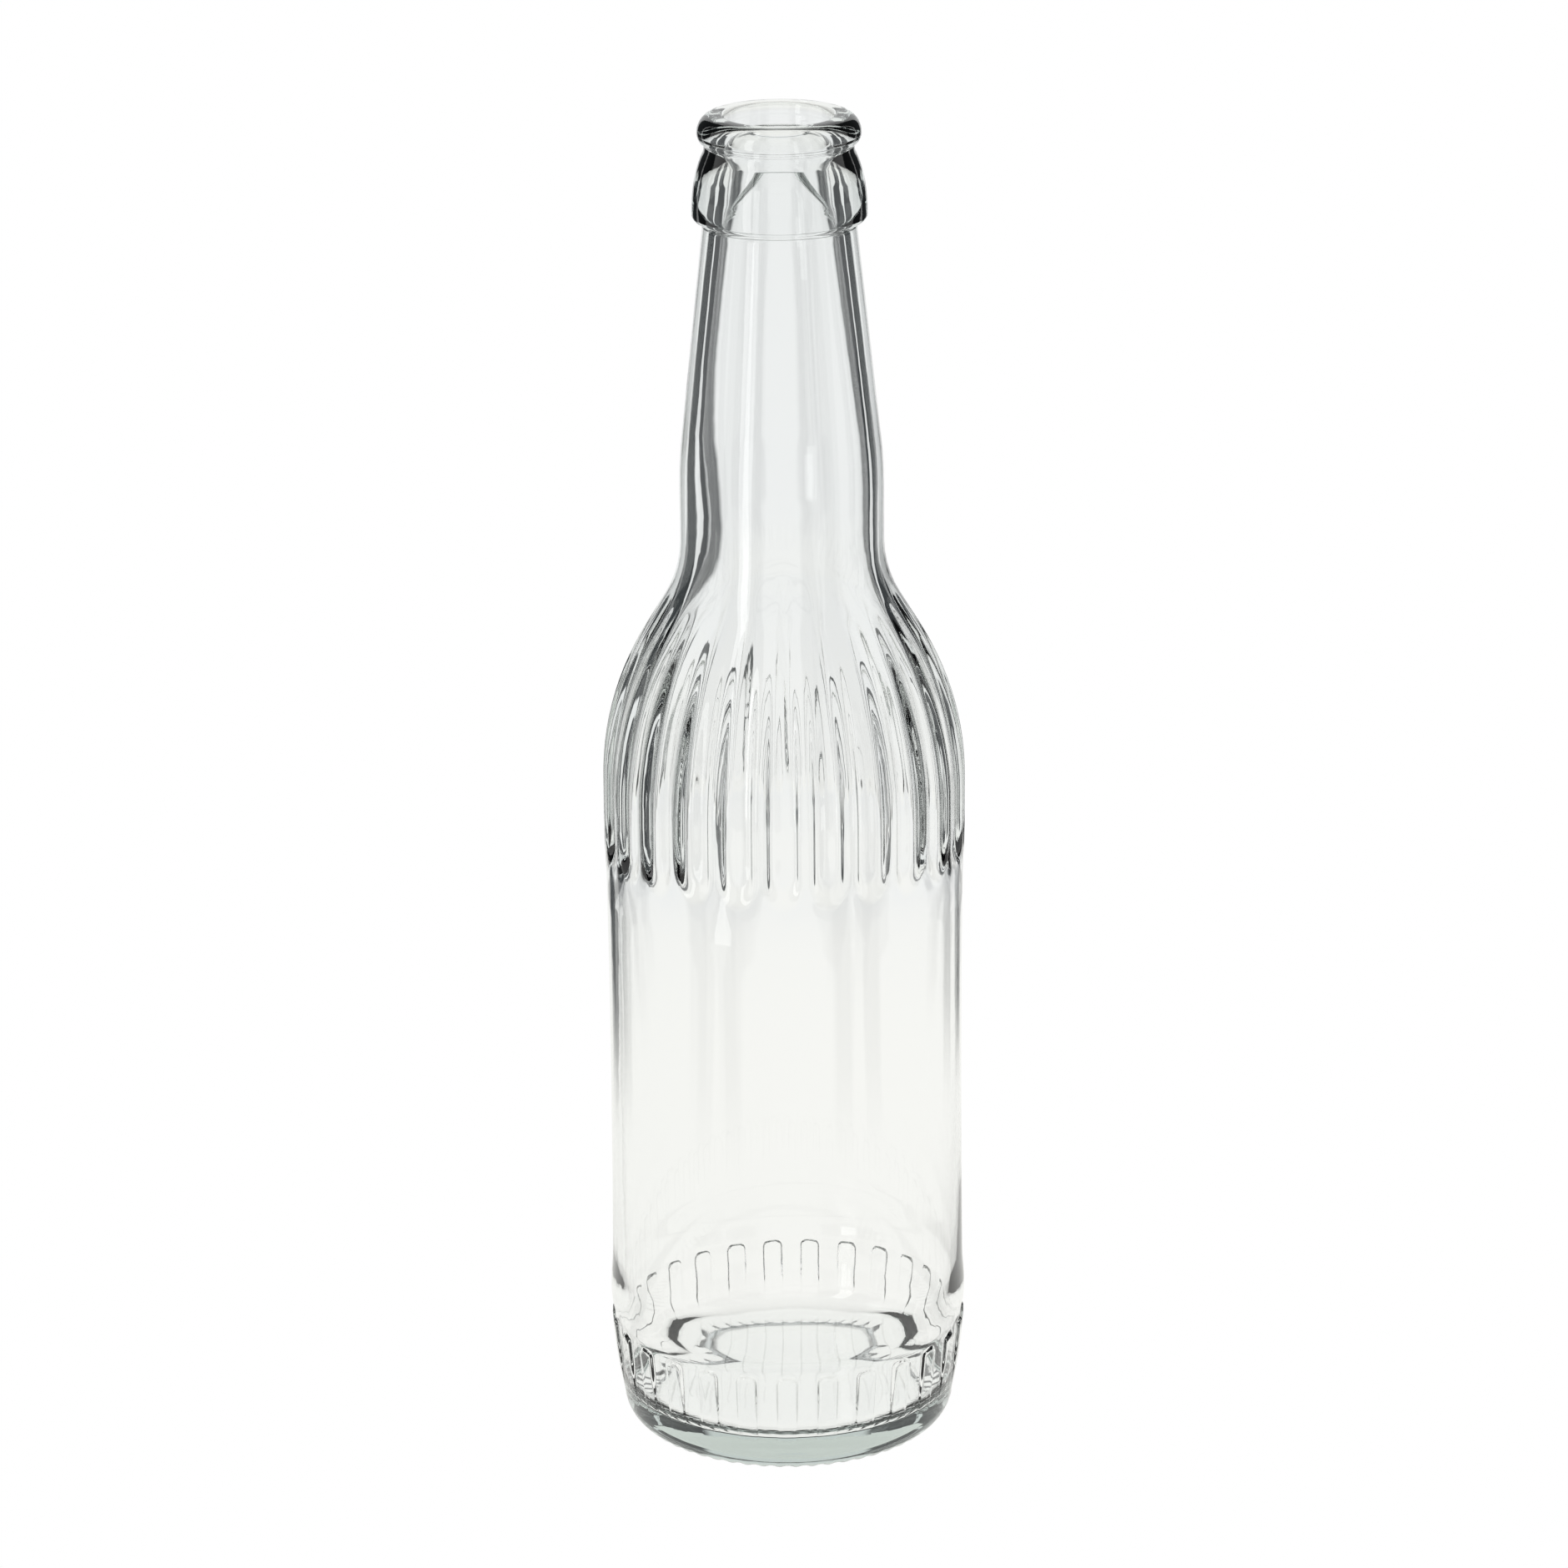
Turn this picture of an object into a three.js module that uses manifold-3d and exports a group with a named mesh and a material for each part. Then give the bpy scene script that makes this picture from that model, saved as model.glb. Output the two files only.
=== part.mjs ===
// Crown cap bottle: an empty long-neck bottle of clear moulded glass, one piece, standing upright.
// Millimetres, +Z up. The origin is the centre of the base, on the surface the bottle stands on.

import * as THREE from 'three';
import { mergeVertices } from 'three/addons/utils/BufferGeometryUtils.js';
import Module from 'manifold-3d';

// Whole bottle
const bottleHeight = 228.6;
const bodyRadius = 30.4;
const wall = 2.6;

// Base: a shallow push-up inside a flat ring, and the rounded edge outside it
const ringInnerRadius = 22.8;
const ringOuterRadius = 24;
const pushUpHeight = 0.8;
const edgeRoundOut = 4.4;
const edgeRoundUp = 5;

// Heel: swells from the base edge to a plain band. Upright pads stand flush in the hollow round it
const swellTop = 20;
const heelSwell = 1.6;
const padCount = 27;
const padDepth = 0.5;
const padBottom = 7.5;
const padTop = 18.7;
const padTopRound = 2.3;
const padHalfTop = 2.3;
const padHalfFoot = 4.1;
const padHollowTop = 22.5;
const bandTop = 25.5;

// Label panel: set back from the band and the shoulder, with a slight waist
const panelBottom = 29.5;
const panelTop = 103.6;
const panelEdgeRound = 4;
const panelEndRadius = 30.05;
const panelWaistRadius = 29.8;

// Shoulder: upright flutes with rounded feet, which fade out as the glass draws in to the neck
const fluteCount = 25;
const fluteDepth = 1.08;
const fluteHalfFloor = 2.4;
const fluteHalfWidth = 6.6;
const fluteFoot = 102.6;
const fluteFootRound = 3.4;
const fluteFadeStart = 122;
const fluteFadeEnd = 148;
const shoulderStart = 115;
const shoulderRound = 52;
const shoulderSlope = 31.5;

// Neck: a straight root that tapers to the finish
const neckRootRadius = 16.88;
const neckRootRound = 19.3;
const neckTaperStart = 166.5;
const neckTaperEnd = 176.5;
const neckTaperRadius = 16.2;
const neckTopRadius = 12.68;
const neckTop = 210;

// Finish: the collar, the groove and the bead that a crown cap grips
const collarRadius = 14.33;
const collarUnderside = 211.3;
const collarRound = 0.9;
const collarFootRadius = 12.9;
const grooveRadius = 12.27;
const grooveBottom = 222.9;
const grooveTop = 224;
const beadRadius = 13.37;
const beadMiddle = 225.6;
const lipRadius = 10.77;

// Bore and hollow: the neck's throat narrows in a short funnel to the straight bore of the mouth
const boreRadius = 8.85;
const lipEdgeRadius = 9.5;
const lipEdgeDepth = 0.85;
const boreBottom = 215.2;
const throatRadius = 9.9;
const throatTop = 212.3;
const innerHeelRound = 4;
const floorHeight = 6.4;
const floorDome = 0.3;

// Facets of the finish and the hollow
const roundSides = 50;

// The body runs up inside the finish, and the hollow runs out past the lip
const joinOverlap = 2;
const cutPastLip = 1;

const radians = THREE.MathUtils.degToRad;
const at = (radius, height) => new THREE.Vector2(radius, height);

// Points along a quarter of an ellipse, or less, without its first point.
function ellipseArc(centre, radii, fromDegrees, toDegrees, steps) {
  const arc = new THREE.EllipseCurve(
    centre.x, centre.y, radii.x, radii.y,
    radians(fromDegrees), radians(toDegrees), toDegrees < fromDegrees,
  );
  return arc.getPoints(steps).slice(1);
}

// The heel swells outwards in a soft curve from the base edge.
function heelRadius(height) {
  const base = ringOuterRadius + edgeRoundOut;
  const left = (swellTop - height) / (swellTop - edgeRoundUp);
  return bodyRadius - (bodyRadius - base) * Math.max(left, 0) ** heelSwell;
}

// The panel draws in a little to its waist, and swells to the full width at the shoulder.
function panelRadius(height) {
  const middle = (panelBottom + panelTop) / 2;
  const across = (height - middle) / ((panelTop - panelBottom) / 2);
  const inset = Math.min(across * across, 1);
  const plain = THREE.MathUtils.lerp(panelWaistRadius, panelEndRadius, inset);
  const swell = THREE.MathUtils.smoothstep(height, panelTop - panelEdgeRound, panelTop + panelEdgeRound);
  return THREE.MathUtils.lerp(plain, bodyRadius, swell);
}

// The shoulder is one arc, a straight slope and the hollow arc of the neck root. An inset moves it
// into the glass, square to the surface.
function shoulder(inset, arcSteps, rootSteps) {
  const turn = radians(shoulderSlope);
  const outer = shoulderRound - inset;
  const root = neckRootRound + inset;
  const arcCentre = at(bodyRadius - shoulderRound, shoulderStart);
  const arc = ellipseArc(arcCentre, at(outer, outer), 0, shoulderSlope, arcSteps);
  const drop = bodyRadius - neckRootRadius;
  const curved = (shoulderRound + neckRootRound) * (1 - Math.cos(turn));
  const slopeRise = (drop - curved) / Math.tan(turn);
  const rootTop = shoulderStart + (shoulderRound + neckRootRound) * Math.sin(turn) + slopeRise;
  const rootCentre = at(neckRootRadius + neckRootRound, rootTop);
  const rootStart = 180 + shoulderSlope;
  const start = at(
    rootCentre.x + root * Math.cos(radians(rootStart)),
    rootCentre.y + root * Math.sin(radians(rootStart)),
  );
  const hollowArc = ellipseArc(rootCentre, at(root, root), rootStart, 180, rootSteps);
  return [at(bodyRadius - inset, shoulderStart), ...arc, start, ...hollowArc];
}

function neckTaper(inset) {
  const curve = new THREE.QuadraticBezierCurve(
    at(neckRootRadius - inset, neckTaperStart),
    at(neckRootRadius - inset, (neckTaperStart + neckTaperEnd) / 2),
    at(neckTaperRadius - inset, neckTaperEnd),
  );
  return curve.getPoints(2);
}

function heelOutline() {
  const padFade = (padBottom + padTop - padTopRound) / 2;
  const padRows = [padBottom, padFade, padTop - padTopRound, padTop];
  const hollowMiddle = (padTop + padHollowTop) / 2;
  const panelThird = (panelTop - panelBottom) / 3;
  return [
    at(0, pushUpHeight),
    ...ellipseArc(at(0, 0), at(ringInnerRadius, pushUpHeight), 90, 0, 4),
    at(ringOuterRadius, 0),
    ...ellipseArc(at(ringOuterRadius, edgeRoundUp), at(edgeRoundOut, edgeRoundUp), -90, 0, 4),
    ...padRows.map((height) => at(heelRadius(height), height)),
    at(bodyRadius, hollowMiddle),
    at(bodyRadius, padHollowTop),
    at(bodyRadius, bandTop),
    at(panelRadius(panelBottom), panelBottom),
    at(panelRadius(panelBottom + panelThird), panelBottom + panelThird),
  ];
}

function shoulderOutline() {
  const panelThird = (panelTop - panelBottom) / 3;
  const panelEdge = [panelTop - panelThird, panelTop - panelEdgeRound];
  const footRows = [...panelEdge, fluteFoot, fluteFoot + fluteFootRound, panelTop + panelEdgeRound];
  return [
    ...footRows.map((height) => at(panelRadius(height), height)),
    ...shoulder(0, 5, 3),
    ...neckTaper(0),
    at(neckTopRadius, neckTop),
    at(neckTopRadius, neckTop + joinOverlap),
    at(0, neckTop + joinOverlap),
  ];
}

function finishOutline() {
  const collarEdge = at(collarRadius - collarRound, collarUnderside + collarRound);
  const collarTop = new THREE.QuadraticBezierCurve(
    at(collarRadius, collarEdge.y),
    at(collarRadius, (collarEdge.y + grooveBottom) / 2),
    at(grooveRadius, grooveBottom),
  );
  const beadUnder = at(beadRadius - grooveRadius, beadMiddle - grooveTop);
  const beadOver = at(beadRadius - lipRadius, bottleHeight - beadMiddle);
  return [
    at(0, neckTop),
    at(collarFootRadius, neckTop),
    at(collarEdge.x, collarUnderside),
    ...ellipseArc(collarEdge, at(collarRound, collarRound), -90, 0, 2),
    ...collarTop.getPoints(4).slice(1),
    at(grooveRadius, grooveTop),
    ...ellipseArc(at(grooveRadius, beadMiddle), beadUnder, -90, 0, 3),
    ...ellipseArc(at(lipRadius, beadMiddle), beadOver, 0, 90, 4),
    at(0, bottleHeight),
  ];
}

function hollowOutline() {
  const insideRadius = bodyRadius - wall;
  const cornerCentre = at(insideRadius - innerHeelRound, floorHeight + innerHeelRound);
  const boreFunnel = at(throatRadius - boreRadius, boreBottom - throatTop);
  const lipEdge = at(lipEdgeRadius - boreRadius, lipEdgeDepth);
  return [
    at(0, floorHeight + floorDome),
    at(cornerCentre.x, floorHeight),
    ...ellipseArc(cornerCentre, at(innerHeelRound, innerHeelRound), -90, 0, 4),
    ...shoulder(wall, 5, 3),
    ...neckTaper(wall),
    at(throatRadius, throatTop),
    ...ellipseArc(at(boreRadius, throatTop), boreFunnel, 0, 90, 2),
    at(boreRadius, bottleHeight - lipEdgeDepth),
    ...ellipseArc(at(lipEdgeRadius, bottleHeight - lipEdgeDepth), lipEdge, 180, 90, 2),
    at(lipEdgeRadius, bottleHeight + cutPastLip),
    at(0, bottleHeight + cutPastLip),
  ];
}

// How far the glass between two pads of the heel is pressed in, at a height.
function heelHollow(height) {
  const start = THREE.MathUtils.smoothstep(height, padBottom, padTop - padTopRound);
  const end = 1 - THREE.MathUtils.smoothstep(height, padTop, padHollowTop);
  return padDepth * start * end;
}

// How deep a shoulder flute is at a height.
function fluteAt(height) {
  const foot = THREE.MathUtils.smoothstep(height, fluteFoot, fluteFoot + fluteFootRound);
  const fade = 1 - THREE.MathUtils.smoothstep(height, fluteFadeStart, fluteFadeEnd);
  return fluteDepth * foot * fade;
}

// A ring of corners round the axis. Each of count pads or flutes has a corner at both edges of its
// middle face and of its whole width, and these are pressed into the glass by two depths.
function ring(point, count, halves, depths) {
  if (point.x === 0) return [{ turn: 0, place: new THREE.Vector3(0, 0, point.y) }];
  const corners = [];
  for (let copy = 0; copy < count; copy += 1) {
    [-halves[1], -halves[0], halves[0], halves[1]].forEach((half, place) => {
      const isMiddle = place === 1 || place === 2;
      const turn = copy * (360 / count) + half;
      const radius = point.x - (isMiddle ? depths[0] : depths[1]);
      const angle = radians(turn);
      corners.push({
        turn,
        place: new THREE.Vector3(radius * Math.sin(angle), -radius * Math.cos(angle), point.y),
      });
    });
  }
  return corners;
}

function heelRing(point) {
  const hollow = heelHollow(point.y);
  const padFace = point.y < padTop ? 0 : hollow;
  return ring(point, padCount, [padHalfTop, padHalfFoot], [padFace, hollow]);
}

function shoulderRing(point) {
  return ring(point, fluteCount, [fluteHalfFloor, fluteHalfWidth], [fluteAt(point.y), 0]);
}

// The turn at which a ring reaches its next corner, or never once it is back at its first.
function turnOf(corners, step) {
  if (corners.length === 1 || step > corners.length) return Infinity;
  return step === corners.length ? corners[0].turn + 360 : corners[step].turn;
}

// A closed skin over rings that may have different numbers of corners. Going round a pair of rings,
// the next triangle takes the next corner of whichever ring is behind.
function skin(rings) {
  const places = [];
  const faces = [];
  rings.forEach((corners, level) => {
    const start = places.length / 3;
    corners.forEach((corner) => places.push(...corner.place.toArray()));
    if (level === 0) return;
    const below = rings[level - 1];
    const lowIndex = (step) => start - below.length + (step % below.length);
    const highIndex = (step) => start + (step % corners.length);
    let low = 0;
    let high = 0;
    while (Math.min(turnOf(below, low + 1), turnOf(corners, high + 1)) < Infinity) {
      if (turnOf(below, low + 1) <= turnOf(corners, high + 1)) {
        faces.push(lowIndex(low), lowIndex(low + 1), highIndex(high));
        low += 1;
      } else {
        faces.push(lowIndex(low), highIndex(high + 1), highIndex(high));
        high += 1;
      }
    }
  });
  const geometry = new THREE.BufferGeometry();
  geometry.setAttribute('position', new THREE.Float32BufferAttribute(places, 3));
  geometry.setIndex(faces);
  return geometry;
}

function revolve(outline) {
  const geometry = new THREE.LatheGeometry(outline, roundSides);
  geometry.rotateX(Math.PI / 2);
  return geometry;
}

const wasm = await Module();
wasm.setup();

function solidOf(geometry) {
  const bare = geometry.clone();
  bare.deleteAttribute('normal');
  bare.deleteAttribute('uv');
  const merged = mergeVertices(bare, 1e-4);
  const corners = merged.getIndex().array;
  const kept = [];
  for (let i = 0; i < corners.length; i += 3) {
    const [a, b, c] = [corners[i], corners[i + 1], corners[i + 2]];
    if (a !== b && b !== c && c !== a) kept.push(a, b, c);
  }
  const mesh = new wasm.Mesh({
    numProp: 3,
    vertProperties: new Float32Array(merged.getAttribute('position').array),
    triVerts: new Uint32Array(kept),
  });
  return new wasm.Manifold(mesh);
}

function geometryOf(solid) {
  const mesh = solid.getMesh();
  const geometry = new THREE.BufferGeometry();
  geometry.setAttribute('position', new THREE.BufferAttribute(mesh.vertProperties, 3));
  geometry.setIndex(new THREE.BufferAttribute(mesh.triVerts, 1));
  geometry.computeVertexNormals();
  return geometry;
}

const rings = [...heelOutline().map(heelRing), ...shoulderOutline().map(shoulderRing)];
const body = solidOf(skin(rings));
const finish = solidOf(revolve(finishOutline()));
const hollow = solidOf(revolve(hollowOutline()));
const glass = body.add(finish).subtract(hollow);

const clearGlass = new THREE.MeshStandardMaterial({
  color: 0xe4eae6,
  roughness: 0.05,
  metalness: 0,
  transparent: true,
  opacity: 0.35,
});

const bottle = new THREE.Mesh(geometryOf(glass), clearGlass);
bottle.name = 'bottle';

const model = new THREE.Group();
model.add(bottle);

export default model;
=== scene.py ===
# Crown cap bottle: an empty long-neck bottle of clear moulded glass, on a white light table.
# Metres, +Z up. The origin is the centre of the base, and azimuth 0 faces -Y, towards the camera.

import bpy
import math
from mathutils import Matrix


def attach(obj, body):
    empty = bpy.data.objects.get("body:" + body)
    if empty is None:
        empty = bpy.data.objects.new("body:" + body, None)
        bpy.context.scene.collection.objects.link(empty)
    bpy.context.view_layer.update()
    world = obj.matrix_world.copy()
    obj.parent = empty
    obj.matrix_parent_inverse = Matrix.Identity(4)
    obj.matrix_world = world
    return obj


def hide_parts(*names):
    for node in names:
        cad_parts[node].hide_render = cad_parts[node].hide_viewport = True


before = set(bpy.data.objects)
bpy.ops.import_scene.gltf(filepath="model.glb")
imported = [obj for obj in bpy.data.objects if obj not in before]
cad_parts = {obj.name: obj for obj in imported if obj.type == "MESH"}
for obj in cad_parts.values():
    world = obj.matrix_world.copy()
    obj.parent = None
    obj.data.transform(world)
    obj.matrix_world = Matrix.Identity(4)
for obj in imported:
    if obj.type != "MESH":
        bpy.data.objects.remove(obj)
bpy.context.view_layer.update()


# The bottle is one piece of clear glass. Its finish is pressed in a neck ring and its body is blown
# in a two-part mould, so the outside is sharp, and the inside is soft and uneven. Its outline, in
# millimetres, goes up the outside from the middle of the base, over the lip and down the hollow.

millimetre = 0.001
bottle_height = 228.6
body_radius = 30.4


def smooth(value, low, high):
    """0 up to low, 1 from high on, and a soft S between them."""
    share = min(max((value - low) / (high - low), 0), 1)
    return share * share * (3 - 2 * share)


def mix(start, end, share):
    return start + (end - start) * share


def ellipse_arc(centre, radii, start, end, steps):
    """Points along an ellipse between two turns in degrees, without the first."""
    points = []
    for step in range(1, steps + 1):
        turn = math.radians(mix(start, end, step / steps))
        points.append((centre[0] + radii[0] * math.cos(turn), centre[1] + radii[1] * math.sin(turn)))
    return points


def bend(start, pull, end, steps):
    """Points along a curve that is pulled towards a corner, without the first."""
    points = []
    for step in range(1, steps + 1):
        share = step / steps
        points.append(tuple(
            mix(mix(a, b, share), mix(b, c, share), share) for a, b, c in zip(start, pull, end)
        ))
    return points


def rise(radius_at, low, high, steps):
    """Points up a wall whose radius follows its height, without the first."""
    heights = [mix(low, high, step / steps) for step in range(1, steps + 1)]
    return [(radius_at(height), height) for height in heights]


# Base: a shallow push-up inside the narrow ring that the bottle stands on, and the round outside it.

push_up_height = 0.8
ring_inner_radius = 22.8
ring_outer_radius = 24.0
edge_round_out = 4.4
edge_round_up = 5.0

outside = [(0, push_up_height)]
outside += ellipse_arc((0, 0), (ring_inner_radius, push_up_height), 90, 0, 9)
outside += [((ring_inner_radius + ring_outer_radius) / 2, 0), (ring_outer_radius, 0)]
outside += ellipse_arc((ring_outer_radius, edge_round_up), (edge_round_out, edge_round_up), -90, 0, 8)

# Heel: it swells to a plain band. Its rows are closest at the arched tops of the pads.

band_bottom = 20.0
band_top = 24.0
heel_swell = 1.6
pad_rows_start = 16.9
pad_rows_end = 19.1


def heel_radius(height):
    left = max(band_bottom - height, 0) / (band_bottom - edge_round_up)
    base = ring_outer_radius + edge_round_out
    return body_radius - (body_radius - base) * left ** heel_swell


outside += rise(heel_radius, edge_round_up, pad_rows_start, 5)
outside += rise(heel_radius, pad_rows_start, pad_rows_end, 12)
outside += rise(heel_radius, pad_rows_end, band_bottom, 1)

# Label panel: set back from the band and from the shoulder, with a slight waist. Its rows are
# closest at the rounded feet of the flutes.

panel_bottom = 30.0
panel_top = 103.6
panel_end_radius = 30.05
panel_waist_radius = 29.8
panel_edge_round = 4
foot_rows_start = panel_top - 2
foot_rows_end = panel_top + 5
shoulder_start = 115.0


def panel_radius(height):
    middle = (panel_bottom + panel_top) / 2
    across = (height - middle) / ((panel_top - panel_bottom) / 2)
    return panel_waist_radius + (panel_end_radius - panel_waist_radius) * min(across * across, 1)


def band_to_panel(height):
    return mix(body_radius, panel_radius(panel_bottom), smooth(height, band_top, panel_bottom))


def panel_to_shoulder(height):
    return mix(
        panel_end_radius, body_radius,
        smooth(height, panel_top - panel_edge_round, panel_top + panel_edge_round),
    )


outside += rise(band_to_panel, band_bottom, panel_bottom, 6)
outside += rise(panel_radius, panel_bottom, panel_top - panel_edge_round, 4)
outside += rise(panel_to_shoulder, panel_top - panel_edge_round, foot_rows_start, 1)
outside += rise(panel_to_shoulder, foot_rows_start, foot_rows_end, 14)
outside += rise(panel_to_shoulder, foot_rows_end, shoulder_start, 2)

# Shoulder and neck: one arc, a straight slope and a hollow arc lead to the straight neck root,
# which bends into the long taper below the finish.

shoulder_round = 52.0
shoulder_slope = 31.5
neck_root_radius = 16.88
neck_root_round = 19.3
neck_root_height = 157.5
neck_taper_start = 166.5
neck_taper_end = 176.5
neck_taper_radius = 16.2
neck_top_radius = 12.68
neck_top = 209.4


def shoulder(inset, arc_steps, root_steps):
    """The shoulder's arcs, moved into the glass by an inset."""
    turn = math.radians(shoulder_slope)
    curved = (shoulder_round + neck_root_round) * (1 - math.cos(turn))
    slope_rise = (body_radius - neck_root_radius - curved) / math.tan(turn)
    root_top = shoulder_start + (shoulder_round + neck_root_round) * math.sin(turn) + slope_rise
    arc_radius = shoulder_round - inset
    root_radius = neck_root_round + inset
    arc_centre = (body_radius - shoulder_round, shoulder_start)
    arc = ellipse_arc(arc_centre, (arc_radius, arc_radius), 0, shoulder_slope, arc_steps)
    root_centre = (neck_root_radius + neck_root_round, root_top)
    root_start = (
        root_centre[0] - root_radius * math.cos(turn),
        root_centre[1] - root_radius * math.sin(turn),
    )
    root = ellipse_arc(root_centre, (root_radius, root_radius), 180 + shoulder_slope, 180, root_steps)
    return [*arc, root_start, *root]


def neck(inset, steps):
    """The neck root and the bend above it, moved into the glass by an inset."""
    middle = (neck_taper_start + neck_taper_end) / 2
    straight = rise(lambda height: neck_root_radius - inset, neck_root_height, neck_taper_start, 3)
    return straight + bend(
        (neck_root_radius - inset, neck_taper_start),
        (neck_root_radius - inset, middle),
        (neck_taper_radius - inset, neck_taper_end),
        steps,
    )


def taper(start_radius, end_radius, top):
    """The long taper from the bend of the neck to a height."""
    return rise(
        lambda height: mix(start_radius, end_radius, (height - neck_taper_end) / (top - neck_taper_end)),
        neck_taper_end, top, 3,
    )


outside += shoulder(0, 13, 5)
outside += neck(0, 3)
outside += taper(neck_taper_radius, neck_top_radius, neck_top)

# Finish: the collar with its sharp underside, the groove, and the bead that the cap is crimped on.

collar_radius = 14.33
collar_underside = 211.3
collar_round = 0.9
collar_undercut = 0.1
collar_bulge_height = 218.6
groove_radius = 12.27
groove_hollow = 0.05
groove_bottom = 222.6
groove_top = 224.0
bead_radius = 13.37
bead_middle = 225.6
lip_radius = 10.77
lip_edge_radius = 9.5

collar_edge = (collar_radius - collar_round, collar_underside + collar_round)
outside += bend(
    (neck_top_radius, neck_top),
    (neck_top_radius - collar_undercut, collar_underside),
    (collar_edge[0], collar_underside),
    4,
)
outside += ellipse_arc(collar_edge, (collar_round, collar_round), -90, 0, 5)
outside += bend(
    (collar_radius, collar_edge[1]),
    (collar_radius, collar_bulge_height),
    (groove_radius, groove_bottom),
    9,
)
outside += bend(
    (groove_radius, groove_bottom),
    (groove_radius - groove_hollow, (groove_bottom + groove_top) / 2),
    (groove_radius, groove_top),
    3,
)
bead_under = (bead_radius - groove_radius, bead_middle - groove_top)
bead_over = (bead_radius - lip_radius, bottle_height - bead_middle)
outside += ellipse_arc((groove_radius, bead_middle), bead_under, -90, 0, 6)
outside += ellipse_arc((lip_radius, bead_middle), bead_over, 0, 90, 8)
outside += [((lip_radius + lip_edge_radius) / 2, bottle_height)]

# Hollow: a nearly flat floor with a round corner, a wall that follows the swell of the heel and is
# thicker in the shoulder, and the straight bore of the mouth.

floor_height = 6.4
floor_dome = 0.3
floor_flat_share = 0.6
inner_heel_round = 4.0
heel_follow_top = 24
body_wall = 1.95
shoulder_wall = 3.1
neck_wall = 2.7
thickening_start = 92
thickening_end = 110
thinning_end = 160
throat_radius = 8.9
throat_top = 213.8
throat_pull = (0.02, 0.25)
throat_middle = 0.35
bore_pull = 0.5
bore_radius = 8.85
bore_bottom = 215.2
lip_edge_depth = 0.85

inner_radius = body_radius - body_wall
corner = (inner_radius - inner_heel_round, floor_height + inner_heel_round)
floor_middle = (0, floor_height + floor_dome)


def hollow_in_heel(height):
    return inner_radius - (body_radius - heel_radius(height))


def hollow_in_panel(height):
    share = smooth(height, thickening_start, thickening_end)
    return mix(inner_radius, body_radius - shoulder_wall, share)


hollow = [floor_middle]
hollow += bend(floor_middle, (corner[0] * floor_flat_share, floor_middle[1]), (corner[0], floor_height), 5)
hollow += ellipse_arc(corner, (inner_heel_round, inner_heel_round), -90, 0, 7)
hollow += rise(hollow_in_heel, corner[1], heel_follow_top, 4)
hollow += rise(hollow_in_panel, thickening_start, shoulder_start, 8)
hollow += [
    (radius + (shoulder_wall - neck_wall) * smooth(height, shoulder_start, thinning_end), height)
    for radius, height in shoulder(shoulder_wall, 7, 4)
]
hollow += neck(neck_wall, 2)
hollow += taper(neck_taper_radius - neck_wall, throat_radius, throat_top)
throat = (throat_radius, throat_top)
throat_bend = (throat_radius - throat_pull[0], throat_top + throat_pull[1])
narrowing = ((throat_radius + bore_radius) / 2, throat_top + throat_middle)
hollow += bend(throat, throat_bend, narrowing, 3)
hollow += bend(narrowing, (bore_radius, throat_top + bore_pull), (bore_radius, bore_bottom), 4)
hollow += rise(lambda height: bore_radius, bore_bottom, bottle_height - lip_edge_depth, 2)
hollow += ellipse_arc(
    (lip_edge_radius, bottle_height - lip_edge_depth),
    (lip_edge_radius - bore_radius, lip_edge_depth), 180, 90, 5,
)

outline = outside + hollow[::-1]
outline_mesh = bpy.data.meshes.new("bottle_glass")
outline_mesh.from_pydata(
    [(radius * millimetre, 0, height * millimetre) for radius, height in outline],
    [(row, row + 1) for row in range(len(outline) - 1)],
    [],
)

# Relief: how deep the flutes, their creases, the ground round the pads and the knurling of the
# ring are at each row of the outline, and where the columns of the mesh gather at their edges.

flute_depth = 1.08
flute_fade_start = 122.0
flute_fade_end = 148.0
flute_gather_start = (40, 95)
flute_gather_end = (150, 170)
crease_depth = 0.3
crease_start = (104.5, 109)
crease_end = (119, 136)
inner_follow = 0.5
inner_follow_start = (100, 109)
pad_depth = 0.5
pad_bottom = 7.5
pad_full = 14.0
pad_top = 18.7
pad_top_soft = 0.8
pad_hollow_top = 22.5
pad_gather_end = (22, 40)
pad_gather_radii = (24, 28)
knurl_height = 0.3
knurl_start = (ring_inner_radius - 0.3, ring_inner_radius + 0.5)
knurl_end = (26.0, 27.0)
knurl_top = 4


def row_values(name, value_at, in_hollow=False):
    """Stores value_at(radius, height) for the rows outside or in the hollow, and 0 for the others."""
    attribute = outline_mesh.attributes.new(name, "FLOAT", "POINT")
    attribute.data.foreach_set("value", [
        value_at(radius, height) if (row >= len(outside)) == in_hollow else 0.0
        for row, (radius, height) in enumerate(outline)
    ])


def flute_at(height):
    return flute_depth * (1 - smooth(height, flute_fade_start, flute_fade_end))


def crease_at(height):
    return crease_depth * smooth(height, *crease_start) * (1 - smooth(height, *crease_end))


def pad_ground(radius, height):
    pressed = pad_depth * smooth(height, pad_bottom, pad_full)
    released = smooth(height, pad_top + pad_top_soft, pad_hollow_top)
    return pressed * (1 - released) * millimetre


def knurl(radius, height):
    if height > knurl_top:
        return 0.0
    return knurl_height * smooth(radius, *knurl_start) * (1 - smooth(radius, *knurl_end)) * millimetre


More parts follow.
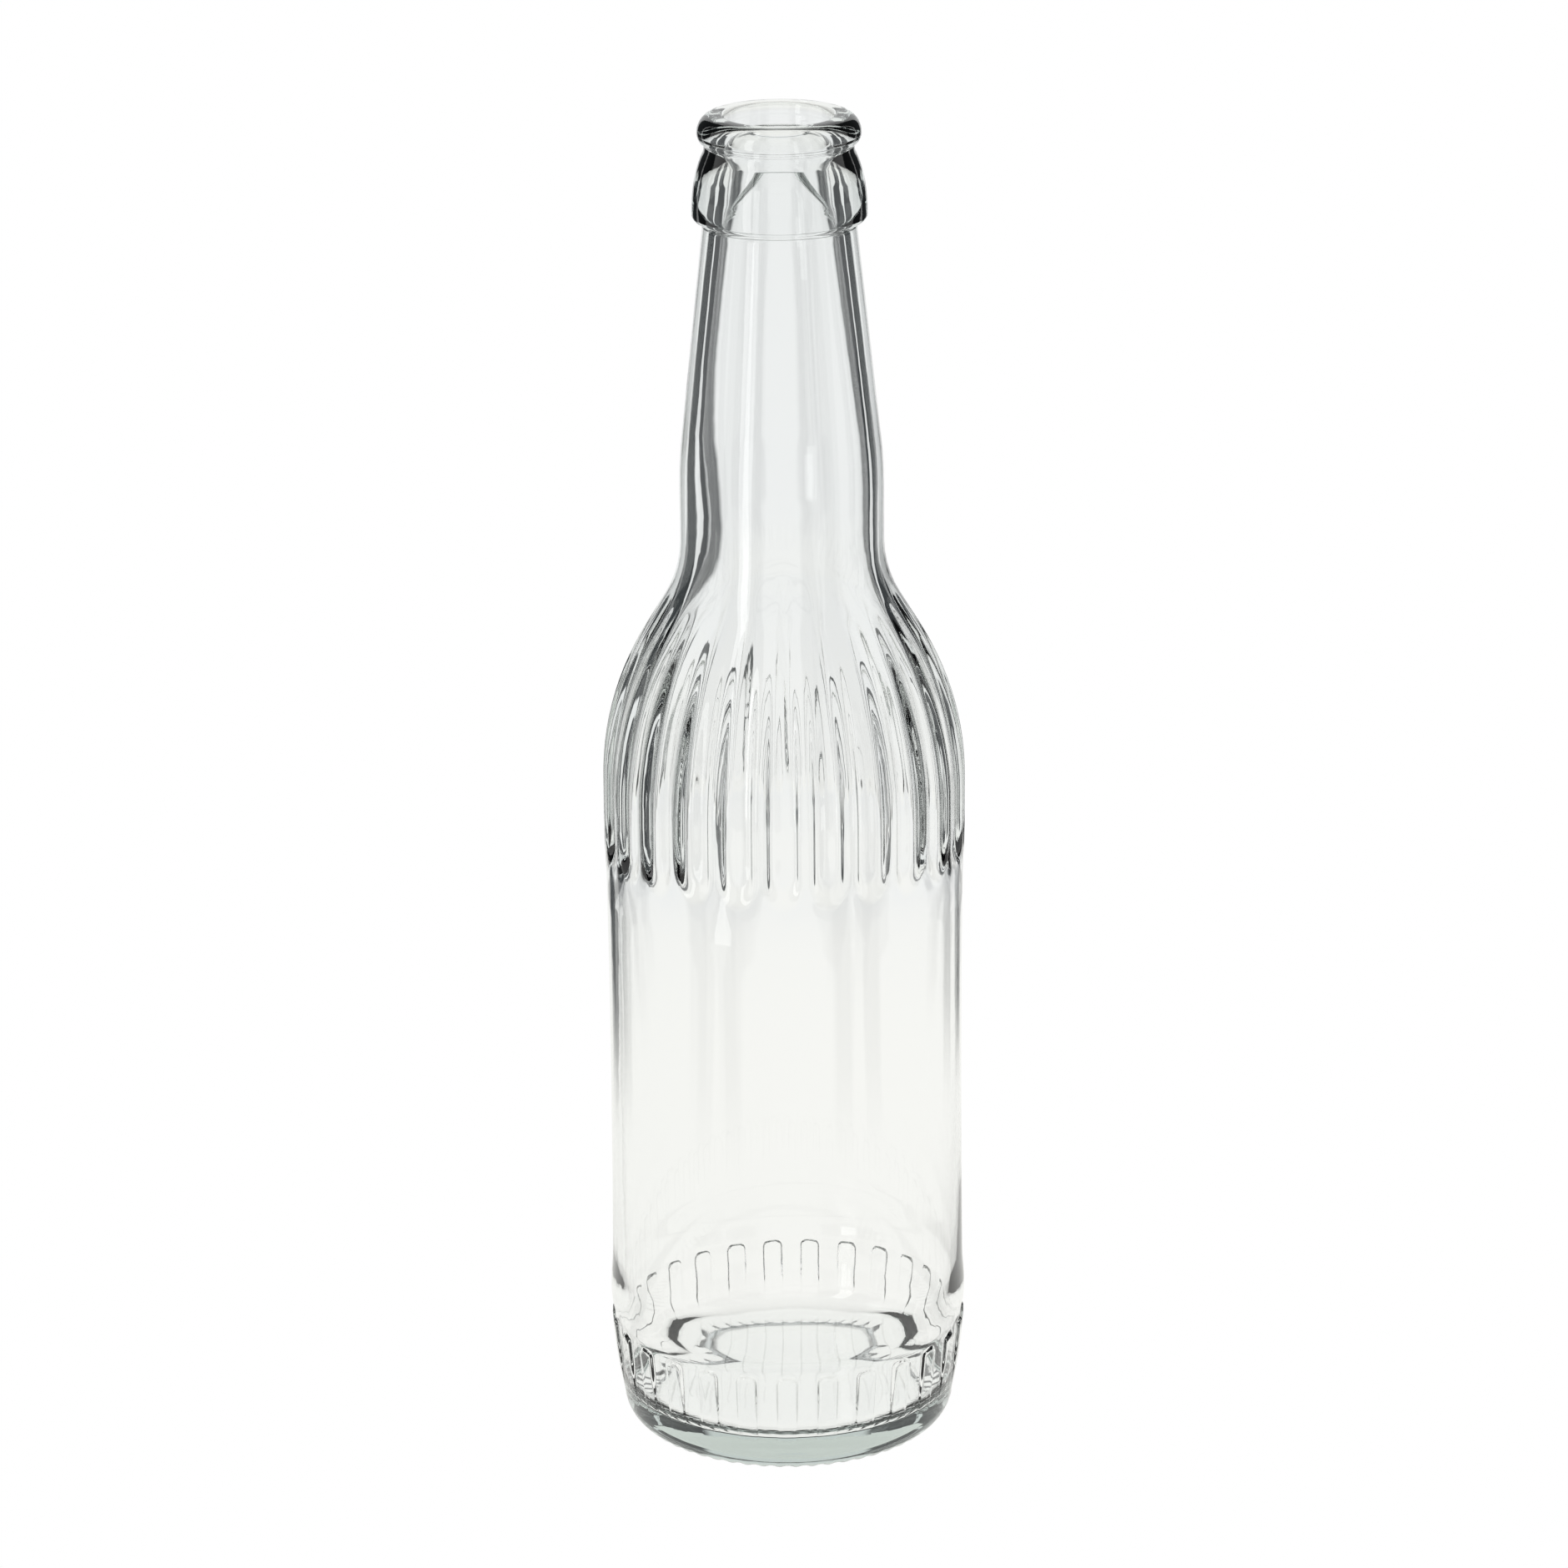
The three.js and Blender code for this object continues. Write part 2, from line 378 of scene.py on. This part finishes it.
row_values("hollow", lambda radius, height: 1.0, in_hollow=True)
row_values(
    "flute",
    lambda radius, height: flute_at(height) * millimetre - crease_at(height) * millimetre,
)
row_values("crease", lambda radius, height: crease_at(height) * millimetre)
row_values(
    "follow",
    lambda radius, height: inner_follow * flute_at(height) * smooth(height, *inner_follow_start) * millimetre,
    in_hollow=True,
)
row_values("pad_ground", pad_ground)
row_values("knurl", knurl)
row_values(
    "flute_gather",
    lambda radius, height: smooth(height, *flute_gather_start) * (1 - smooth(height, *flute_gather_end)),
)
row_values(
    "pad_gather",
    lambda radius, height: (1 - smooth(height, *pad_gather_end)) * smooth(radius, *pad_gather_radii),
)

# Turning: the outline is turned about the axis into one closed skin, and the relief is pressed in.
# The hollow sits a little to one side, its wall bulges in at the left of the neck, and it ripples.

tree = bpy.data.node_groups.new("moulded_bottle", "GeometryNodeTree")
tree.interface.new_socket("Geometry", in_out="OUTPUT", socket_type="NodeSocketGeometry")
tree.interface.new_socket("Outline", in_out="INPUT", socket_type="NodeSocketGeometry")
sizes = {
    "Columns": 525,
    "Rows": len(outline),
    "Flute Count": 25,
    "Flute Half Width": math.radians(4.5),
    "Flute Edge": math.radians(2.3),
    "Flute Crease": math.radians(0.5),
    "Flute Foot": 104.2 * millimetre,
    "Flute Foot Round": 2.3 * millimetre,
    "Pad Count": 27,
    "Pad Half Width": math.radians(3.2),
    "Pad Edge": math.radians(0.45),
    "Pad Top": pad_top * millimetre,
    "Pad Top Round": 1.1 * millimetre,
    "Knurl Count": 58,
    "Hollow Shift": 0.45 * millimetre,
    "Neck Bulge": 0.7 * millimetre,
    "Neck Bulge Height": 162 * millimetre,
    "Neck Bulge Reach": 26 * millimetre,
    "Ripple": 0.12 * millimetre,
    "Ripple Size": 14.0,
    "Seed": 3.0,
    "Body Radius": body_radius * millimetre,
}
for name, value in sizes.items():
    kind = "NodeSocketInt" if isinstance(value, int) else "NodeSocketFloat"
    tree.interface.new_socket(name, in_out="INPUT", socket_type=kind).default_value = value
glass_input = tree.interface.new_socket("Glass", in_out="INPUT", socket_type="NodeSocketMaterial")
given = tree.nodes.new("NodeGroupInput").outputs


def node_maker(node_tree):
    """A function that adds a node to a tree, with its settings and the values or links of its inputs."""
    def add(kind, inputs=(), **settings):
        made = node_tree.nodes.new(kind)
        for key, value in settings.items():
            setattr(made, key, value)
        for key, value in (inputs.items() if isinstance(inputs, dict) else enumerate(inputs)):
            if isinstance(value, bpy.types.NodeSocket):
                node_tree.links.new(value, made.inputs[key])
            elif value is not None:
                made.inputs[key].default_value = value
        return made
    return add


node = node_maker(tree)


def maths(operation, *values):
    return node("ShaderNodeMath", values, operation=operation).outputs[0]


def remap(value, from_low, from_high, to_low, to_high, curve="LINEAR"):
    values = (value, from_low, from_high, to_low, to_high)
    return node("ShaderNodeMapRange", values, interpolation_type=curve).outputs[0]


def vector(*parts):
    return node("ShaderNodeCombineXYZ", parts).outputs[0]


grid = node("GeometryNodeMeshGrid", (1.0, 1.0, maths("ADD", given["Columns"], 1), given["Rows"])).outputs[0]
index = node("GeometryNodeInputIndex").outputs[0]
column = maths("FLOOR", maths("DIVIDE", maths("ADD", index, 0.5), given["Rows"]))
row_index = maths("SUBTRACT", index, maths("MULTIPLY", column, given["Rows"]))


def of_this_row(value, kind):
    sample = {0: given["Outline"], "Value": value, "Index": row_index}
    return node("GeometryNodeSampleIndex", sample, data_type=kind, domain="POINT").outputs[0]


def from_outline(name):
    value = node("GeometryNodeInputNamedAttribute", (name,), data_type="FLOAT").outputs[0]
    return of_this_row(value, "FLOAT")


place = of_this_row(node("GeometryNodeInputPosition").outputs[0], "FLOAT_VECTOR")
place_parts = node("ShaderNodeSeparateXYZ", (place,)).outputs
radius = place_parts[0]
height = place_parts[2]
turn_share = maths("SUBTRACT", maths("DIVIDE", column, given["Columns"]), 0.5)


def gathered(count, marks):
    """The columns, drawn together between marks of their share of a pitch and the turn they go to."""
    pitches = maths("MULTIPLY", turn_share, count)
    cell = maths("ROUND", pitches)
    across = maths("SUBTRACT", pitches, cell)
    off = maths("ABSOLUTE", across)
    pitch = maths("DIVIDE", math.tau, count)
    total = 0.0
    share_before = 0.0
    turn_before = 0.0
    for share, turn in [*marks, (0.5, maths("MULTIPLY", pitch, 0.5))]:
        width = maths("DIVIDE", maths("SUBTRACT", turn, turn_before), pitch)
        total = maths("ADD", total, remap(off, share_before, share, 0.0, width))
        share_before = share
        turn_before = turn
    signed = maths("MULTIPLY", maths("SIGN", across), total)
    return maths("DIVIDE", maths("ADD", cell, signed), count)


def blend_to(start, end, share):
    return maths("ADD", start, maths("MULTIPLY", maths("SUBTRACT", end, start), share))


flute_half = given["Flute Half Width"]
crease_reach = maths("MULTIPLY", given["Flute Crease"], 1.2)
flute_share = gathered(given["Flute Count"], [
    (0.06, maths("SUBTRACT", flute_half, given["Flute Edge"])),
    (0.15, maths("SUBTRACT", flute_half, crease_reach)),
    (0.35, maths("ADD", flute_half, crease_reach)),
    (0.44, maths("ADD", flute_half, given["Flute Edge"])),
])
pad_half = given["Pad Half Width"]
pad_reach = maths("MULTIPLY", given["Pad Edge"], 1.3)
pad_share = gathered(given["Pad Count"], [
    (0.08, maths("SUBTRACT", pad_half, pad_reach)),
    (0.36, maths("ADD", pad_half, pad_reach)),
])
share = blend_to(turn_share, flute_share, from_outline("flute_gather"))
share = blend_to(share, pad_share, from_outline("pad_gather"))
angle = maths("MULTIPLY", share, math.tau)
sine = maths("SINE", angle)
cosine = maths("COSINE", angle)


def off_middle(count):
    """The angle from the middle of the nearest flute or pad."""
    pitch = maths("DIVIDE", math.tau, count)
    pitches = maths("DIVIDE", angle, pitch)
    return maths("MULTIPLY", maths("ABSOLUTE", maths("SUBTRACT", pitches, maths("ROUND", pitches))), pitch)


def footprint(kind, corner, past_end, steepness):
    """1 on a flute or pad and 0 beside it, with rounded corners at its end."""
    reach = given["Body Radius"]
    across = maths("MULTIPLY", off_middle(given[f"{kind} Count"]), reach)
    width = maths("MULTIPLY", given[f"{kind} Half Width"], reach)
    side = maths("MAXIMUM", maths("SUBTRACT", across, maths("SUBTRACT", width, corner)), 0.0)
    end = maths("MAXIMUM", maths("ADD", maths("MULTIPLY", past_end, steepness), corner), 0.0)
    distance = maths("SQRT", maths("ADD", maths("MULTIPLY", side, side), maths("MULTIPLY", end, end)))
    distance = maths("SUBTRACT", distance, corner)
    soft = maths("MULTIPLY", given[f"{kind} Edge"], reach)
    return remap(distance, maths("MULTIPLY", soft, -1), soft, 1.0, 0.0, "SMOOTHSTEP")


def wave(count):
    """A wave between 0 and 1 with so many crests round the bottle."""
    return remap(maths("COSINE", maths("MULTIPLY", angle, count)), -1.0, 1.0, 0.0, 1.0)


foot_steepness = 0.6
below_foot = maths("SUBTRACT", given["Flute Foot"], height)
flute = footprint("Flute", given["Flute Foot Round"], below_foot, foot_steepness)
pad = footprint("Pad", given["Pad Top Round"], maths("SUBTRACT", height, given["Pad Top"]), 1.0)
crease_from = maths("SUBTRACT", flute_half, given["Flute Crease"])
crease_to = maths("ADD", flute_half, given["Flute Crease"])
crease = remap(off_middle(given["Flute Count"]), crease_from, crease_to, 1.0, 0.0, "SMOOTHSTEP")
pressed = 0.0
for shape, depth in (
    (flute, "flute"),
    (crease, "crease"),
    (maths("SUBTRACT", 1.0, pad), "pad_ground"),
    (wave(given["Flute Count"]), "follow"),
):
    pressed = maths("ADD", pressed, maths("MULTIPLY", shape, from_outline(depth)))

# Unevenness of the hollow, with its heights in metres. The bulge is fullest at -X, where the sine is -1.

uneven_start = (0.012, 0.03)
shift_end = (0.115, 0.15)
bulge_left = (-1.0, -0.5)
ripple_across = 0.03
ripple_along = 0.6
ripple_end = (0.185, 0.205)

in_hollow = from_outline("hollow")
in_body = maths("MULTIPLY", in_hollow, remap(height, *uneven_start, 0.0, 1.0, "SMOOTHSTEP"))
below_neck = maths("MULTIPLY", in_body, remap(height, *shift_end, 1.0, 0.0, "SMOOTHSTEP"))
shift = maths("MULTIPLY", below_neck, given["Hollow Shift"])

bulge_rise = maths("ABSOLUTE", maths("SUBTRACT", height, given["Neck Bulge Height"]))
bulge_window = remap(bulge_rise, 0.0, given["Neck Bulge Reach"], 1.0, 0.0, "SMOOTHSTEP")
bulge_side = remap(sine, *bulge_left, 1.0, 0.0, "SMOOTHSTEP")
bulge_depth = maths("MULTIPLY", in_hollow, given["Neck Bulge"])
bulge = maths("MULTIPLY", maths("MULTIPLY", bulge_window, bulge_side), bulge_depth)

ripple_place = vector(
    maths("MULTIPLY", sine, ripple_across),
    maths("MULTIPLY", cosine, ripple_across),
    maths("MULTIPLY", height, ripple_along),
)
ripple_noise = node("ShaderNodeTexNoise", {
    "Vector": ripple_place,
    "W": given["Seed"],
    "Scale": maths("MULTIPLY", given["Ripple Size"], 3.0),
    "Detail": 1.5,
}, noise_dimensions="4D").outputs[0]
ripple_window = maths("MULTIPLY", in_body, remap(height, *ripple_end, 1.0, 0.0, "SMOOTHSTEP"))
ripple_depth = maths("MULTIPLY", ripple_window, given["Ripple"])
ripple = maths("MULTIPLY", maths("MULTIPLY", maths("SUBTRACT", ripple_noise, 0.5), 2.0), ripple_depth)

moulded_radius = maths("ADD", maths("SUBTRACT", maths("SUBTRACT", radius, pressed), bulge), ripple)
moulded_place = vector(
    maths("ADD", maths("MULTIPLY", moulded_radius, sine), shift),
    maths("MULTIPLY", maths("MULTIPLY", moulded_radius, cosine), -1),
    maths("ADD", height, maths("MULTIPLY", wave(given["Knurl Count"]), from_outline("knurl"))),
)
placed = node("GeometryNodeSetPosition", {"Geometry": grid, "Position": moulded_place}).outputs[0]
closed = node("GeometryNodeMergeByDistance", {"Geometry": placed, "Distance": 2e-6}).outputs[0]
smoothed = node("GeometryNodeSetShadeSmooth", {"Geometry": closed}).outputs[0]
realized = node("GeometryNodeRealizeInstances", {"Geometry": smoothed}).outputs[0]
finished = node("GeometryNodeSetMaterial", {"Geometry": realized, "Material": given["Glass"]}).outputs[0]
node("NodeGroupOutput", (finished,))

# Glass: clear, with a green cast where it is thick. Its fire-polished face ripples very slightly,
# and the ring that it stands on is scuffed.

glass_tint = (0.50, 0.60, 0.56, 1.0)
tint_density = 20.0
scuff_height = 0.5
scuff_roughness = 0.5

glass = bpy.data.materials.new("clear_glass")
glass.use_nodes = True
glass_node = node_maker(glass.node_tree)
principled = glass.node_tree.nodes["Principled BSDF"]
principled.inputs["Base Color"].default_value = (1.0, 1.0, 1.0, 1.0)
principled.inputs["Roughness"].default_value = 0.0
principled.inputs["IOR"].default_value = 1.52
principled.inputs["Transmission Weight"].default_value = 1.0

surface_place = glass_node("ShaderNodeTexCoord").outputs["Object"]
polish = glass_node("ShaderNodeTexNoise", {"Vector": surface_place, "Scale": 160.0, "Detail": 2.0}).outputs[0]
polish_bump = glass_node("ShaderNodeBump", {"Height": polish, "Strength": 0.05, "Distance": 0.0003})
glass.node_tree.links.new(polish_bump.outputs[0], principled.inputs["Normal"])

surface_height = glass_node("ShaderNodeSeparateXYZ", (surface_place,)).outputs[2]
scuff = glass_node("ShaderNodeTexNoise", {"Vector": surface_place, "Scale": 2500.0, "Detail": 3.0}).outputs[0]
scuff_edge = glass_node("ShaderNodeMapRange", {
    "Value": surface_height,
    "From Min": 0.0,
    "From Max": scuff_height * millimetre,
    "To Min": scuff_roughness,
    "To Max": 0.0,
}).outputs[0]
scuffed = glass_node("ShaderNodeMath", (scuff_edge, scuff), operation="MULTIPLY").outputs[0]
glass.node_tree.links.new(scuffed, principled.inputs["Roughness"])

absorption = glass_node("ShaderNodeVolumeAbsorption", {"Color": glass_tint, "Density": tint_density})
glass.node_tree.links.new(absorption.outputs[0], glass.node_tree.nodes["Material Output"].inputs["Volume"])

bottle = bpy.data.objects.new("bottle_glass", outline_mesh)
bpy.context.scene.collection.objects.link(bottle)
shaping = bottle.modifiers.new("moulded_bottle", "NODES")
shaping.node_group = tree
shaping[glass_input.identifier] = glass
graph = bpy.context.evaluated_depsgraph_get()
moulded = bpy.data.meshes.new_from_object(bottle.evaluated_get(graph), depsgraph=graph)
bottle.modifiers.remove(shaping)
bottle.data = moulded

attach(bottle, "root")
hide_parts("bottle")


# The stage: the glass sees a glowing white table and sweep with a soft dark card towards each corner,
# which gives it its dark edges, a pale ceiling, and a narrow strip light at the front left. The camera
# sees only a plain white floor and backdrop.

near_white = (0.95, 0.95, 0.92)
far_white = (0.90, 0.91, 0.91)
unlit = (0.05, 0.055, 0.058)
ceiling_grey = (0.42, 0.44, 0.43)
strip_white = (2.6, 2.6, 2.6)
backdrop_white = (1.0, 1.0, 1.0)


def shining(name, colour):
    """A material that only glows, and its emission node."""
    material = bpy.data.materials.new(name)
    material.use_nodes = True
    material.node_tree.nodes.clear()
    add = node_maker(material.node_tree)
    light = add("ShaderNodeEmission", {"Color": (*colour, 1.0)})
    add("ShaderNodeOutputMaterial", (light.outputs[0],))
    return material, light


# The cards start at an angle from the table's axes and at a reach from the bottle. A white lane
# runs down the middle of each. Far out, the cards and the lanes are wider.

card_start = (math.radians(28), math.radians(32))
near_edge = (0.16, 0.28)
far_edge = (0.39, 0.46)
far_card_turn = math.radians(8)
far_lane_share = 0.42
lane_edge = (0.014, 0.024)
white_fade = (0.15, 0.62)

table_light, table_glow = shining("table_light", near_white)
table_node = node_maker(table_light.node_tree)


def table_maths(operation, *values):
    return table_node("ShaderNodeMath", values, operation=operation).outputs[0]


def ramp(value, edge, start, end):
    values = (value, *edge, start, end)
    return table_node("ShaderNodeMapRange", values, interpolation_type="SMOOTHSTEP").outputs[0]


def blended(share, start, end):
    inputs = {"Factor": share, "A": start, "B": end}
    return table_node("ShaderNodeMix", inputs, data_type="RGBA").outputs["Result"]


table_place = table_node("ShaderNodeTexCoord").outputs["Object"]
table_parts = table_node("ShaderNodeSeparateXYZ", (table_place,)).outputs
side = table_parts[0]
ahead = table_parts[1]
across = table_maths("ABSOLUTE", side)
along = table_maths("ABSOLUTE", ahead)
reach = table_maths("SQRT", table_maths(
    "ADD", table_maths("MULTIPLY", side, side), table_maths("MULTIPLY", ahead, ahead),
))
turn = table_maths("ARCTAN2", table_maths("MINIMUM", across, along), table_maths("MAXIMUM", across, along))
turn = table_maths("ADD", turn, ramp(reach, far_edge, 0.0, far_card_turn))
off_corner = table_maths("ABSOLUTE", table_maths("SUBTRACT", across, along))
off_corner = table_maths("MULTIPLY", off_corner, math.sqrt(0.5))
off_corner = table_maths("MULTIPLY", off_corner, ramp(reach, far_edge, 1.0, far_lane_share))
lit = table_maths("MAXIMUM", ramp(turn, card_start, 1.0, 0.0), ramp(off_corner, lane_edge, 1.0, 0.0))
lit = table_maths("MAXIMUM", lit, ramp(reach, near_edge, 1.0, 0.0))
white = blended(ramp(reach, white_fade, 0.0, 1.0), (*near_white, 1.0), (*far_white, 1.0))
table_colour = blended(lit, (*unlit, 1.0), white)
table_light.node_tree.links.new(table_colour, table_glow.inputs["Color"])


def fan(name, path, half_angle, steps, material, seen_by_camera, middle=0.0):
    """A sheet bent round the bottle: a path of reach and height, swept through an angle about the axis."""
    corners = []
    for reach, up in path:
        for k in range(steps + 1):
            turn = math.radians(middle + mix(-half_angle, half_angle, k / steps))
            corners.append((reach * math.sin(turn), reach * math.cos(turn), up))
    wide = steps + 1
    faces = [
        (r * wide + k, r * wide + k + 1, (r + 1) * wide + k + 1, (r + 1) * wide + k)
        for r in range(len(path) - 1) for k in range(steps)
    ]
    mesh = bpy.data.meshes.new(name)
    mesh.from_pydata(corners, [], faces)
    mesh.materials.append(material)
    piece = bpy.data.objects.new(name, mesh)
    bpy.context.scene.collection.objects.link(piece)
    piece.visible_camera = seen_by_camera
    piece.visible_glossy = not seen_by_camera
    piece.visible_transmission = not seen_by_camera
    piece.visible_diffuse = not seen_by_camera


table_drop = 0.0004
floor_drop = 0.0006
table_reach = 1.2
sweep_round = 0.6
sweep_reach = table_reach + sweep_round
studio_height = 2.5
floor_reach = 3.0
backdrop_reach = 4

sweep_path = [(reach, -table_drop) for reach in (0.0, 0.1, 0.4, table_reach)]
for turn_up in range(10, 91, 10):
    sweep_turn = math.radians(turn_up)
    sweep_path.append((
        table_reach + sweep_round * math.sin(sweep_turn),
        sweep_round - sweep_round * math.cos(sweep_turn),
    ))
sweep_path += [(sweep_reach, 2 * sweep_round), (sweep_reach, studio_height)]
fan("white_sweep", sweep_path, 180, 72, table_light, False)

strip_reach = 0.42
strip_heights = (0.02, 0.25, 0.5)
strip_half_angle = 5.5
strip_middle = 180 + 42
fan(
    "strip_light", [(strip_reach, up) for up in strip_heights], strip_half_angle, 8,
    shining("side_light", strip_white)[0], False, middle=strip_middle,
)

fan(
    "ceiling", [(0.0, studio_height), (sweep_reach, studio_height)], 180, 32,
    shining("ceiling", ceiling_grey)[0], False,
)

backdrop = shining("backdrop_white", backdrop_white)[0]
fan("floor", [(0.0, -floor_drop), (floor_reach, -floor_drop)], 180, 64, backdrop, True)
dome_path = []
for turn_up in range(-80, 91, 10):
    dome_turn = math.radians(turn_up)
    dome_path.append((backdrop_reach * math.cos(dome_turn), backdrop_reach * math.sin(dome_turn)))
fan("backdrop", dome_path, 180, 64, backdrop, True)

world = bpy.data.worlds.new("studio")
bpy.context.scene.world = world
world.use_nodes = True
world.node_tree.nodes["Background"].inputs["Color"].default_value = (*unlit, 1)
world.node_tree.nodes["Background"].inputs["Strength"].default_value = 1.0
bpy.context.scene.view_settings.view_transform = "Standard"


# The camera stands about a metre in front of the bottle and looks down on it. The lens gives the
# focal length in pixels that was solved from the photo, over a 36 mm wide frame.

camera_reach = 0.9524
camera_height = 0.4411
camera_pitch = math.radians(18.946)
camera_roll = math.radians(-0.443)
camera_turn = math.radians(0.5)
focal_pixels = 7203.2
photo_pixels = 1880

camera_data = bpy.data.cameras.new("camera")
camera_data.sensor_width = 36.0
camera_data.lens = 36.0 * focal_pixels / photo_pixels
camera_data.clip_start = 0.05
camera_data.clip_end = 20.0
camera = bpy.data.objects.new("camera", camera_data)
bpy.context.scene.collection.objects.link(camera)
camera_place = (
    camera_reach * math.sin(camera_turn), -camera_reach * math.cos(camera_turn), camera_height
)
camera.matrix_world = (
    Matrix.Translation(camera_place)
    @ Matrix.Rotation(camera_turn, 4, "Z")
    @ Matrix.Rotation(math.pi / 2 - camera_pitch, 4, "X")
    @ Matrix.Rotation(camera_roll, 4, "Z")
)
bpy.context.scene.camera = camera
